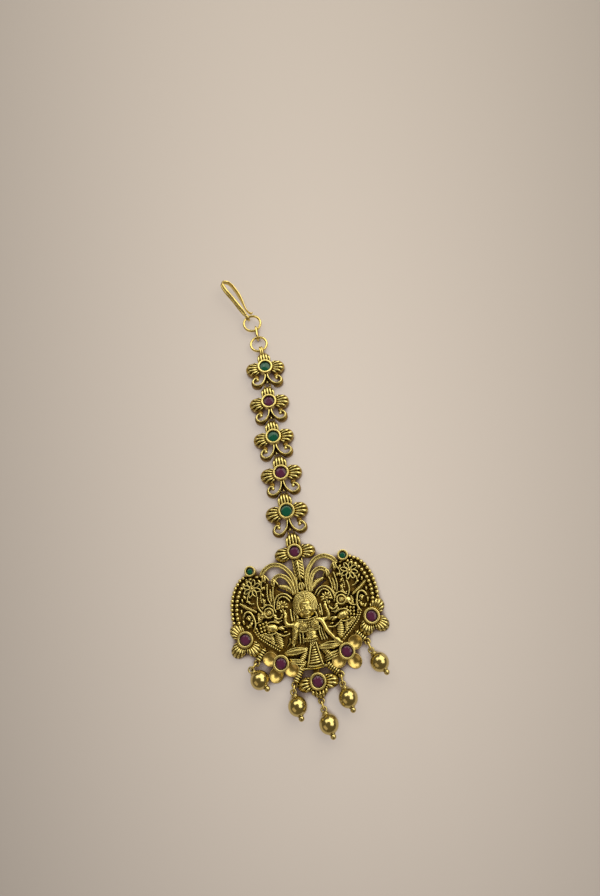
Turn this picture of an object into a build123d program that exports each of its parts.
from build123d import *
import os
from math import cos, radians, sin, sqrt

# Maang tikka lying face up on a flat surface: millimetres, +Z up, +Y from the pendant to the hair hook.
# The pendant's top flower stands at (base_x, base_y); all other places are measured from that flower.
base_x, base_y = -0.30, -24.388

# heights above the surface
link_back = 1.2        # the back plates of the flower links
link_wall = 0.5        # the lower edges of their petals and scrolls
link_top = 2.4         # their petals
scroll_top = 2.7       # their scrolls
bezel_top = 3.4
seat = 2.35            # the floor of each stone's pocket
plate_top = 1.3        # the pendant's pierced plate, whose back lies on the surface
relief_top = 2.3       # leaves, straps and petals on that plate

bezel_radius, pocket_radius, stone_radius = 2.1, 1.58, 1.52
link_bezel_radius, link_pocket_radius, link_stone_radius = 2.35, 1.82, 1.76
small_bezel_radius, small_pocket_radius, small_stone_radius = 1.45, 1.06, 1.0
stone_girdle, stone_crown, stone_lift = 0.35, 0.4, 0.02

# flower links: place of the bezel from the top flower, turn in the plane, roll about the length
links = [
    {"x": 0.70, "y": 59.7, "turn": -1.0, "roll": 4.0, "cut": "cabochon"},
    {"x": 0.20, "y": 47.3, "turn": -1.5, "roll": 0.0, "cut": "faceted"},
    {"x": -0.30, "y": 35.4, "turn": 1.0, "roll": 0.0, "cut": "cabochon"},
    {"x": 0.10, "y": 23.6, "turn": -1.0, "roll": 0.0, "cut": "faceted"},
    {"x": -0.20, "y": 11.9, "turn": 1.0, "roll": 0.0, "cut": "cabochon"},
]
fan_tip = 5.6                       # reach of a flower's upper fan
staple_up, staple_down = 4.4, -4.5  # middle of the wire staples on a link's back
staple_half, staple_wire = 0.58, 0.22
ring_height, ring_wire, ring_half_width = 0.78, 0.25, 0.85  # the oval rings behind the links lie flat here

# the stones on the pendant: name, place of the bezel, size and cut
pendant_stones = [
    {"name": "top", "x": 0.10, "y": 0.0, "small": False, "cut": "faceted"},
    {"name": "corner_left", "x": -13.0, "y": -3.1, "small": True, "cut": "cabochon"},
    {"name": "corner_right", "x": 13.0, "y": -3.4, "small": True, "cut": "cabochon"},
    {"name": "side_left", "x": -16.7, "y": -20.5, "small": False, "cut": "faceted"},
    {"name": "side_right", "x": 17.3, "y": -20.5, "small": False, "cut": "faceted"},
    {"name": "low_left", "x": -8.3, "y": -27.9, "small": False, "cut": "faceted"},
    {"name": "low_right", "x": 9.1, "y": -27.9, "small": False, "cut": "faceted"},
    {"name": "bottom", "x": 0.35, "y": -33.7, "small": False, "cut": "faceted"},
]
pendant_axis = 0.35    # the pendant's own middle line, beside the chain's

# ribbed stems of the four outer drops: first and last point of the coil
stems = [
    {"x0": -12.1, "y0": -23.6, "x1": -14.2, "y1": -26.1},
    {"x0": -3.3, "y0": -29.9, "x1": -5.35, "y1": -32.9},
    {"x0": 3.5, "y0": -29.9, "x1": 6.0, "y1": -32.5},
    {"x0": 12.4, "y0": -23.6, "x1": 14.4, "y1": -25.9},
]
stem_height, stem_radius, rib_radius = 1.3, 0.52, 0.72
loop_radius, loop_wire = 0.66, 0.24
centre_loop = {"x": 0.3, "y": -38.35}

# drops from left to right: middle of the bead and the direction of its cap
drops = [
    {"x": -14.4, "y": -30.8, "dx": -0.58, "dy": 0.81},
    {"x": -5.8, "y": -38.5, "dx": -0.17, "dy": 0.985},
    {"x": 1.2, "y": -43.75, "dx": -0.19, "dy": 0.98},
    {"x": 7.15, "y": -38.75, "dx": -0.22, "dy": 0.975},
    {"x": 16.8, "y": -31.9, "dx": -0.42, "dy": 0.907},
]
bead_radius, cap_reach, loop_reach, tip_reach, tip_radius = 2.45, 2.9, 3.5, 2.95, 0.75
drop_dip = 0.2         # sine of the angle by which a drop's cap end sinks
drop_link_radius, drop_link_wire = 0.72, 0.27

# rings between the first link and the hook, and the hook itself
chain_ring = {"x": 0.1, "y": 69.15, "radius": 2.6, "wire": 0.4, "height": 1.5, "rise": 0.0}
hook_ring = {"x": -0.9, "y": 77.35, "radius": 2.75, "wire": 0.4, "height": 1.7, "rise": 5.0}
connector = {"x": 0.1, "wire": 0.35, "radius": 1.15, "height": 1.55, "slack": 0.24}
bail = {"x": 0.55, "y": 66.0, "radius": 1.05, "half_length": 0.55, "wire": 0.34, "height": 1.6}
hook_eye = {"radius": 1.05, "wire": 0.36, "height": 2.0}
hook_heel = (-2.6, 80.75, 2.3)   # the foot of the hook's front leg
hook_head = (-8.6, 93.2, 3.4)    # its far end, where the bend begins
hook_roll = 30.0                 # the back leg lies to the right of the front leg and below it
strip_thick, strip_wide = 0.8, 1.8


def at(x, y, height=0.0, turn=0.0, roll=0.0):
    """A plane at a place measured from the top flower."""
    x_dir = Vector(cos(radians(turn)), sin(radians(turn)), 0).rotate(Axis.Y, roll)
    return Plane((base_x + x, base_y + y, height), x_dir=x_dir, z_dir=Vector(0, 0, 1).rotate(Axis.Y, roll))


def spot(x, y, height):
    """A point measured from the top flower."""
    return Vector(base_x + x, base_y + y, height)


def oval_ring(place, half_length, radius, wire):
    """A ring of round wire in the plane; with no straight stretch it is a plain torus."""
    if half_length == 0:
        with Locations(place):
            Torus(radius, wire)
        return
    with BuildLine(place) as path:
        Line((-half_length, radius), (half_length, radius))
        ThreePointArc((half_length, radius), (half_length + radius, 0), (half_length, -radius))
        Line((half_length, -radius), (-half_length, -radius))
        ThreePointArc((-half_length, -radius), (-half_length - radius, 0), (-half_length, radius))
    with BuildSketch(Plane(path.wire() @ 0, z_dir=path.wire() % 0)) as section:
        Circle(wire)
    sweep(section.sketch, path.wire())


def raised(sketch, amount, mode=Mode.ADD):
    """Extrude a sketch in the part that is being built."""
    extrude(sketch.sketch, amount=amount, mode=mode)


def strap(place, points, width, amount):
    """A curved strap of even width through a few points of the plane."""
    with BuildSketch(place) as outline:
        with BuildLine():
            Spline(*points)
        trace(line_width=width)
    raised(outline, amount)


def ball(place, radius):
    with Locations(place):
        Sphere(radius)


def side_petal(place, toward, amount, size, reach):
    """A scallop that points at an angle from the flower's middle, with grooves from that middle."""
    with BuildSketch(place) as outline:
        with PolarLocations(reach, 1, start_angle=toward):
            Ellipse(*size)
    raised(outline, amount)
    with BuildSketch(place.offset(amount)) as grooves:
        with PolarLocations(reach + 0.9, 5, start_angle=toward - 26, angular_range=65):
            Rectangle(2.6, 0.24)
    raised(grooves, -0.35, Mode.SUBTRACT)


def fan_petal(place, tip, amount, half_width=1.95):
    """The tongue above or below a bezel: nearly straight sides, a round tip and four grooves."""
    with BuildSketch(place) as outline:
        with BuildLine():
            Polyline((-half_width, tip - 2.0), (-half_width - 0.15, 2.0), (-1.35, 1.0), (1.35, 1.0),
                     (half_width + 0.15, 2.0), (half_width, tip - 2.0))
            ThreePointArc((half_width, tip - 2.0), (0, tip), (-half_width, tip - 2.0))
        make_face()
    raised(outline, amount)
    with BuildSketch(place.offset(amount)) as grooves:
        for x in (-1.2, -0.4, 0.4, 1.2):
            with Locations(Location((x, tip - 2.2, 0), (0, 0, -6 * x))):
                Rectangle(0.26, 3.2)
    raised(grooves, -0.35, Mode.SUBTRACT)


def bezel(place, bottom, outer=bezel_radius):
    """The solid cup that a stone is set in; its pocket is cut last."""
    with BuildSketch(place.offset(bottom)) as cup:
        Circle(outer)
    raised(cup, bezel_top - bottom)


def pocket(place, radius):
    with BuildSketch(place.offset(seat)) as hole:
        Circle(radius)
    raised(hole, bezel_top, Mode.SUBTRACT)


def staple(place, along):
    """A wire staple under a link, standing on the surface along the chain."""
    middle = place.origin + place.y_dir * along
    with BuildLine(Plane(middle, x_dir=place.y_dir, z_dir=place.x_dir)) as path:
        Line((-staple_half, link_back + 0.3), (-staple_half, 0.5))
        ThreePointArc((-staple_half, 0.5), (0, staple_wire), (staple_half, 0.5))
        Line((staple_half, 0.5), (staple_half, link_back + 0.3))
    with BuildSketch(Plane(path.wire() @ 0, z_dir=path.wire() % 0)) as section:
        Circle(staple_wire)
    sweep(section.sketch, path.wire())


def scrolls(place):
    """Two open scrolls below the bezel, the web between their stems and a ball on each curl."""
    for side in (-1, 1):
        curl = [(0.4, -2.1), (0.55, -3.6), (1.25, -5.2), (2.8, -6.5), (4.15, -6.15), (4.65, -5.15),
                (4.25, -4.15), (3.4, -3.75)]
        strap(place.offset(link_back), [(side * x, y) for x, y in curl], 0.8, scroll_top - link_back)
        with BuildSketch(place.offset(link_back)) as knob:
            with Locations((side * 3.1, -4.3)):
                Circle(0.68)
            with Locations((side * 3.1, -3.1)):
                Circle(0.95)
        raised(knob, link_top - link_back)
        strap(place.offset(link_wall), [(side * x, y) for x, y in [(2.2, -6.2)] + curl[3:]], 0.6, 1.0)
        ball(place * Location((side * 3.1, -4.3, link_top)), 0.6)
    with BuildSketch(place.offset(link_back)) as web:
        Polygon((-0.6, -2), (0.6, -2), (1.1, -4.8), (0, -5.7), (-1.1, -4.8), align=None)
    raised(web, 0.8)
    ball(place * Location((0, -5.3, link_back + 0.8)), 0.36)


def flower(place, with_scrolls):
    """The motif that all links and the pendant's head share."""
    with BuildSketch(place.offset(link_back)) as disc:
        Circle(2.3)
    raised(disc, link_top - link_back)
    fan_petal(place.offset(link_back), fan_tip, link_top - link_back)
    petal_size, petal_reach = ((2.5, 2.35), 3.75) if with_scrolls else ((2.35, 2.0), 3.45)
    for toward in (-3, 183):
        side_petal(place.offset(link_wall), toward, link_top - link_wall, petal_size, petal_reach)
    if with_scrolls:
        scrolls(place)
        staple(place, staple_down)
    bezel(place, link_back, link_bezel_radius if with_scrolls else bezel_radius)
    staple(place, staple_up)


def faceted_stone(place, radius):
    """A sixteen-sided girdle with a crown that tapers to a flat table."""
    base = place.offset(seat + stone_lift)
    with BuildSketch(base) as girdle:
        RegularPolygon(radius, 16)
    raised(girdle, stone_girdle)
    with BuildSketch(base.offset(stone_girdle)) as crown_foot:
        RegularPolygon(radius, 16)
    with BuildSketch(base.offset(stone_girdle + stone_crown)) as table:
        RegularPolygon(0.6 * radius, 16)
    loft([crown_foot.sketch, table.sketch])


def domed_stone(place, radius):
    """A smooth cabochon: a straight edge and a low dome."""
    side_view = Plane(place.origin, x_dir=place.x_dir, z_dir=-place.y_dir)
    foot = seat + stone_lift
    shoulder = foot + stone_girdle
    dome_radius = (radius**2 + stone_crown**2) / (2 * stone_crown)
    half_way = shoulder + stone_crown - dome_radius + sqrt(dome_radius**2 - radius**2 / 4)
    with BuildSketch(side_view) as profile:
        with BuildLine():
            Polyline((0, shoulder + stone_crown), (0, foot), (radius, foot), (radius, shoulder))
            ThreePointArc((radius, shoulder), (radius / 2, half_way), (0, shoulder + stone_crown))
        make_face()
    revolve(profile.sketch, axis=Axis(place.origin, place.z_dir))


def stone(name, place, radius, cut):
    with BuildPart() as glass:
        if cut == "faceted":
            faceted_stone(place, radius)
        else:
            domed_stone(place, radius)
    write(name, glass.part)


def write(name, part):
    part.label = name
    export_step(part, f"parts/{name}.step")


def mirrored(points, side):
    return [(side * x, y) for x, y in points]


def pierced_plate(place):
    """The pendant's flat back plate up to its border, without the arches above it."""
    with BuildSketch(place) as plate:
        with BuildLine():
            Polyline((0, -9.6), (2.6, -9.8), (3.0, -11.4), (6.3, -9.4), (7.8, -8.7), (8.9, -6.9), (9.5, -5.2),
                     (11.2, -4.4), (12.7, -3.5))
            ThreePointArc((12.7, -3.5), (18.3, -7.4), (19.9, -14.5))
            Polyline((19.9, -14.5), (19.7, -19), (16.4, -24), (13.6, -24.2), (11.4, -26.4), (9, -29.4),
                     (5.0, -30.6), (0, -30.8), (0, -9.6))
        make_face()
        mirror(about=Plane.YZ)
    raised(plate, plate_top)


def arches(place, side):
    """The fronds that spring from the crown, each with a bud at its end."""
    frond_back = place.offset(0.3)
    strap(frond_back, mirrored([(1.7, -11.2), (1.8, -8.0), (3.1, -4.7), (6.6, -2.4), (9.7, -3.6), (10.7, -5.0)],
                               side), 0.85, 1.9)
    strap(frond_back, mirrored([(2.3, -11.2), (2.8, -8.3), (5.1, -5.7), (7.2, -6.3), (7.9, -7.6)], side),
          0.8, 1.9)
    strap(frond_back, mirrored([(2.6, -10.8), (4.2, -9.0), (6.2, -8.4), (8.2, -8.3)], side), 0.9, 1.5)
    strap(place, mirrored([(3.4, -12.6), (5.4, -11.2), (7.4, -12.2), (8.0, -14.0)], side), 0.6, relief_top)
    for x, y in ((9.8, -6.0), (7.5, -7.5)):
        ball(place * Location((side * x, y, 1.5)), 0.8)


def leaf_column(place):
    """The upright leaf and bud between the two fans of fronds."""
    with BuildSketch(place.offset(0.3)) as leaf:
        with BuildLine():
            ThreePointArc((0, -1.6), (1.15, -4.8), (0, -8.4))
            ThreePointArc((0, -8.4), (-1.15, -4.8), (0, -1.6))
        make_face()
        with Locations((0, -9.2)):
            Rectangle(2.6, 2.4)
    raised(leaf, 2.0)


def peacock(place, side):
    """A peacock that faces the figure: ringed eye, beak, body, wing and tail."""
    with BuildSketch(place) as body:
        with Locations((side * 10.0, -14.9)):
            Circle(1.7)
        with Locations(Location((side * 9.8, -18.6, 0), (0, 0, -12 * side))):
            Ellipse(2.9, 1.6)
        with Locations((side * 8.0, -22.4)):
            Ellipse(1.9, 2.2)
    raised(body, relief_top)
    with BuildSketch(place) as eye:
        with Locations((side * 10.0, -14.9)):
            Circle(1.15)
    raised(eye, relief_top + 0.5)
    ball(place * Location((side * 9.5, -18.4, 1.7)), 1.2)
    strap(place, mirrored([(8.9, -16.2), (7.6, -16.4), (6.7, -15.3)], side), 0.7, relief_top)
    strap(place, mirrored([(16.6, -14.6), (15.3, -13.6), (14.0, -15.4), (13.6, -18.0), (12.0, -21.0)], side),
          0.7, relief_top)
    strap(place, mirrored([(16.8, -11.2), (15.0, -12.5), (13.2, -13.8)], side), 1.2, relief_top)


def border(place, side):
    """The raised band of the outer border and the open daisy inside it."""
    strap(place, mirrored([(14.6, -4.6), (17.2, -6.6), (18.7, -9.8), (19.0, -13.2), (18.9, -16.6)], side),
          1.9, 2.0)
    with BuildSketch(place) as daisy:
        with Locations((side * 13.8, -8.0)):
            with PolarLocations(1.3, 7):
                Ellipse(1.1, 0.5)
            Circle(0.6)
    raised(daisy, relief_top)


def figure(place):
    """The seated four-armed figure in the middle, in its large masses."""
    with BuildSketch(place) as halo:
        with Locations((0, -14.0)):
            Circle(3.2)
    raised(halo, 2.2)
    ball(place * Location((0.2, -15.3, 2.5)), 1.7)
    with BuildSketch(place) as torso:
        Polygon((-2.7, -18.6), (-0.6, -17.8), (-0.6, -16.5), (0.8, -16.5), (0.8, -17.8), (2.9, -18.6),
                (1.8, -22.2), (1.9, -24.2), (-1.5, -24.2), (-1.1, -22.2), align=None)
    raised(torso, 2.6)
    for x in (-1.35, 1.8):
        ball(place * Location((x, -19.85, 2.5)), 1.15)
    with BuildSketch(place) as skirt:
        Polygon((-1.4, -23.6), (1.8, -23.6), (2.4, -29.9), (-2.2, -29.9), align=None)
    raised(skirt, 2.4)
    strap(place, [(-1.5, -25.4), (-2.4, -27.0), (-3.5, -28.4)], 1.2, relief_top)
    strap(place, [(2.3, -25.4), (3.4, -26.8), (4.5, -28.4)], 1.2, relief_top)
    with BuildSketch(place) as legs:
        for side in (-1, 1):
            with Locations(Location((side * 4.4, -25.9, 0), (0, 0, -8 * side))):
                Ellipse(3.1, 1.3)
    raised(legs, 2.2)
    for side in (-1, 1):
        strap(place, mirrored([(2.4, -18.9), (4.6, -19.3), (5.9, -18.6), (5.6, -16.2)], side), 0.8, 2.5)
        with BuildSketch(place) as lotus:
            with Locations((side * 6.1, -13.6)):
                Circle(1.5)
        raised(lotus, relief_top)
    strap(place, [(-2.6, -19.2), (-3.4, -20.6), (-4.2, -22.8)], 1.8, 2.6)
    strap(place, [(2.6, -18.9), (4.2, -20.4), (4.8, -21.9), (6.2, -24.0)], 1.05, 2.6)
    with BuildSketch(place) as hands:
        with Locations((7.1, -24.9), (-4.4, -23.3)):
            Circle(0.95)
    raised(hands, 2.6)


def smooth_petal(place, toward):
    """A round plain petal with a shallow dish in it."""
    middle = place * Location((3.2 * cos(radians(toward)), 3.2 * sin(radians(toward)), 0))
    with BuildSketch(place) as outline:
        with PolarLocations(3.15, 1, start_angle=toward):
            Circle(1.85)
    raised(outline, 2.1)
    with Locations(middle * Location((0, 0, 5.2))):
        Sphere(3.5, mode=Mode.SUBTRACT)


def ribbed_stem(start, end):
    """A stem with six ribs and a wire loop at its end, from the plate's edge outwards."""
    along = (end - start).normalized()
    stem = Plane(start, z_dir=along)
    length = (end - start).length
    with BuildSketch(stem) as core:
        Circle(stem_radius)
    raised(core, length + 0.1)
    for count in range(6):
        with BuildSketch(stem.offset(count * (length - 0.3) / 5)) as rib:
            Circle(rib_radius)
        raised(rib, 0.3)
    hanging_loop(end + along * 0.75, along)


def hanging_loop(middle, along):
    """A round wire loop that lies level, in line with what it is soldered to."""
    level = along.cross(Vector(0, 0, 1))
    with Locations(Plane(middle, x_dir=along, z_dir=level.cross(along))):
        Torus(loop_radius, loop_wire)


def drop_frame(drop):
    """The middle of a drop's bead and the direction from it to the loop."""
    flat = Vector(drop["dx"], drop["dy"], 0).normalized() * sqrt(1 - drop_dip**2)
    return spot(drop["x"], drop["y"], bead_radius), Vector(flat.X, flat.Y, -drop_dip)


def link_between(name, start, end, wire):
    """An oval ring of wire that stands on edge, its two ends in the middles of two loops."""
    along = end - start
    place = Plane((start + end) * 0.5, x_dir=along, z_dir=along.cross(Vector(0, 0, 1)))
    with BuildPart() as ring:
        oval_ring(place, along.length / 2 - drop_link_radius, drop_link_radius, wire)
    write(name, ring.part)


os.makedirs("parts", exist_ok=True)

# the chain: five flower links and their stones
link_places = [at(link["x"], link["y"], 0.0, link["turn"], link["roll"]) for link in links]
for number, (link, place) in enumerate(zip(links, link_places), start=1):
    with BuildPart() as flower_link:
        flower(place, with_scrolls=True)
        pocket(place, link_pocket_radius)
        if number == 1:
            bail_middle = spot(bail["x"], bail["y"], bail["height"])
            oval_ring(Plane(bail_middle, x_dir=(0, 1, 0), z_dir=(1, 0, 0)), bail["half_length"],
                      bail["radius"], bail["wire"])
    write(f"flower_link_{number}", flower_link.part)
    stone(f"stone_link_{number}", place, link_stone_radius, link["cut"])
print("links done")

# the pendant, one casting
axis_place = at(pendant_axis, 0)
stone_places = [at(item["x"], item["y"]) for item in pendant_stones]
bottom_x = pendant_stones[-1]["x"]
top, corner_left, corner_right, side_left, side_right, low_left, low_right, bottom = stone_places
stem_ends = [(spot(s["x0"], s["y0"], stem_height), spot(s["x1"], s["y1"], stem_height)) for s in stems]
with BuildPart() as pendant:
    pierced_plate(axis_place)
    leaf_column(axis_place)
    figure(axis_place)
    for side in (-1, 1):
        arches(axis_place, side)
        border(axis_place, side)
        peacock(axis_place, side)
    print("relief done")
    flower(top, with_scrolls=False)
    for place, angles in ((side_left, (130, 225, 305)), (side_right, (50, -45, -125))):
        for toward in angles:
            side_petal(place, toward, relief_top, (2.2, 2.0), 3.1)
    for place, angles in ((low_left, (150, 236, -37)), (low_right, (35, -60, 217))):
        for toward in angles:
            smooth_petal(place, toward)
    for toward in (-8, 188):
        side_petal(bottom.offset(0.3), toward, 1.9, (2.5, 1.8), 2.9)
    fan_petal(at(bottom_x, pendant_stones[-1]["y"], 0.3, 180), 4.05, 1.9, 2.0)
    for place in (side_left, side_right, low_left, low_right, bottom):
        bezel(place, 0)
    for place in (corner_left, corner_right):
        bezel(place, 0, small_bezel_radius)
    with BuildSketch(at(bottom_x, -31.2)) as neck:
        Rectangle(1.2, 2.6)
    raised(neck, 1.8)
    ball(at(bottom_x, -31.2, 1.6), 0.85)
    for start, end in stem_ends:
        ribbed_stem(start, end)
    hanging_loop(spot(centre_loop["x"], centre_loop["y"], stem_height), Vector(0, -1, 0))
    for item, place in zip(pendant_stones, stone_places):
        pocket(place, small_pocket_radius if item["small"] else pocket_radius)
write("pendant", pendant.part)
print("pendant done")
for item, place in zip(pendant_stones, stone_places):
    stone(f"stone_{item['name']}", place, small_stone_radius if item["small"] else stone_radius, item["cut"])

# the small rings behind the links, each as wide as the gap between two staples
ring_ends = link_places + [top]
for number, (upper, lower) in enumerate(zip(ring_ends, ring_ends[1:]), start=1):
    start = upper.origin + upper.y_dir * staple_down
    end = lower.origin + lower.y_dir * staple_up
    middle = (start + end) * 0.5
    ring_place = Plane((middle.X, middle.Y, ring_height), x_dir=end - start, z_dir=(0, 0, 1))
    with BuildPart() as jump_ring:
        oval_ring(ring_place, (start - end).length / 2 - ring_half_width, ring_half_width, ring_wire)
    write(f"jump_ring_{number}", jump_ring.part)

# the rings between the chain and the hook
for name, ring in (("chain_ring", chain_ring), ("hook_ring", hook_ring)):
    with BuildPart() as open_ring:
        with Locations(at(ring["x"], ring["y"], ring["height"]) * Location((0, 0, 0), (ring["rise"], 0, 0))):
            Torus(ring["radius"], ring["wire"])
    write(name, open_ring.part)
with BuildPart() as connector_ring:
    lower_y = chain_ring["y"] + chain_ring["radius"]
    upper_y = hook_ring["y"] - sqrt(hook_ring["radius"]**2 - (hook_ring["x"] - connector["x"])**2)
    inner_length = upper_y - lower_y + chain_ring["wire"] + hook_ring["wire"] + connector["slack"]
    half_length = inner_length / 2 + connector["wire"] - connector["radius"]
    oval_ring(Plane(spot(connector["x"], (lower_y + upper_y) / 2, connector["height"]), x_dir=(0, 1, 0),
                    z_dir=(1, 0, 0)), half_length, connector["radius"], connector["wire"])
write("connector_ring", connector_ring.part)

# the hair hook: a strip bent in its own plane, which is rolled about the front leg
heel, head = spot(*hook_heel), spot(*hook_head)
leg_dir = (head - heel).normalized()
level = leg_dir.cross(Vector(0, 0, 1)).normalized()
gap_dir = level.rotate(Axis((0, 0, 0), leg_dir), hook_roll)
if gap_dir.Z > 0:
    gap_dir = level.rotate(Axis((0, 0, 0), leg_dir), -hook_roll)
hook_plane = Plane(heel, x_dir=leg_dir, z_dir=leg_dir.cross(gap_dir))
leg_length = (head - heel).length
with BuildPart() as hair_hook:
    with BuildSketch(hook_plane) as strip:
        with BuildLine():
            Line((-0.2, 0), (leg_length, 0))
            ThreePointArc((leg_length, 0), (leg_length + 1.7, 1.7), (leg_length, 3.4))
        trace(line_width=strip_thick)
    extrude(amount=strip_wide / 2, both=True)
    with BuildSketch(hook_plane) as back_leg:
        with BuildLine():
            Spline((leg_length, 3.4), (8.5, 3.3), (3.4, 2.05), (1.4, 1.8), (0.2, 2.3), (0.3, 3.2),
                   tangents=((-1, 0), (0.6, 0.6)))
        trace(line_width=strip_thick * 0.8)
    extrude(amount=strip_wide / 2, both=True)
    # the back leg is a leaf: it narrows towards its curled end
    side_view = Plane(heel + gap_dir * 0.5, x_dir=leg_dir, z_dir=gap_dir)
    with BuildSketch(side_view) as waste:
        Polygon((-2, 0.45), (3, 0.45), (8.5, 0.9), (8.5, 2), (-2, 2), align=None)
        mirror(about=Plane.XZ)
    extrude(amount=4, mode=Mode.SUBTRACT)
    with BuildSketch(Plane(heel - gap_dir * strip_thick / 2, x_dir=leg_dir, z_dir=gap_dir)) as groove:
        with Locations((leg_length / 2, 0)):
            Rectangle(leg_length - 0.6, 0.5)
    extrude(amount=0.3, mode=Mode.SUBTRACT)
    eye_middle = heel - leg_dir * hook_eye["radius"]
    with Locations(Plane((eye_middle.X, eye_middle.Y, hook_eye["height"]), x_dir=leg_dir,
                         z_dir=leg_dir.cross(Vector(0, 0, 1)))):
        Torus(hook_eye["radius"], hook_eye["wire"])
write("hair_hook", hair_hook.part)

# the drops and the oval rings that carry them
loop_middles = [end + (end - start).normalized() * 0.75 for start, end in stem_ends]
loop_middles.insert(2, spot(centre_loop["x"], centre_loop["y"], stem_height))
for number, (drop, hung_from) in enumerate(zip(drops, loop_middles), start=1):
    middle, along = drop_frame(drop)
    axis_plane = Plane(middle, z_dir=along)
    with BuildPart() as bead_drop:
        ball(axis_plane, bead_radius)
        with BuildSketch(axis_plane.offset(bead_radius - 0.25)) as cap:
            Circle(0.85)
        raised(cap, cap_reach - bead_radius + 0.25)
        with BuildSketch(axis_plane.offset(-tip_reach)) as neck:
            Circle(0.32)
        raised(neck, tip_reach - bead_radius + 0.3)
        ball(axis_plane * Location((0, 0, -tip_reach)), tip_radius)
        hanging_loop(middle + along * loop_reach, along)
    write(f"drop_{number}", bead_drop.part)
    link_between(f"drop_link_{number}", hung_from, middle + along * loop_reach, drop_link_wire)
print("drops done")
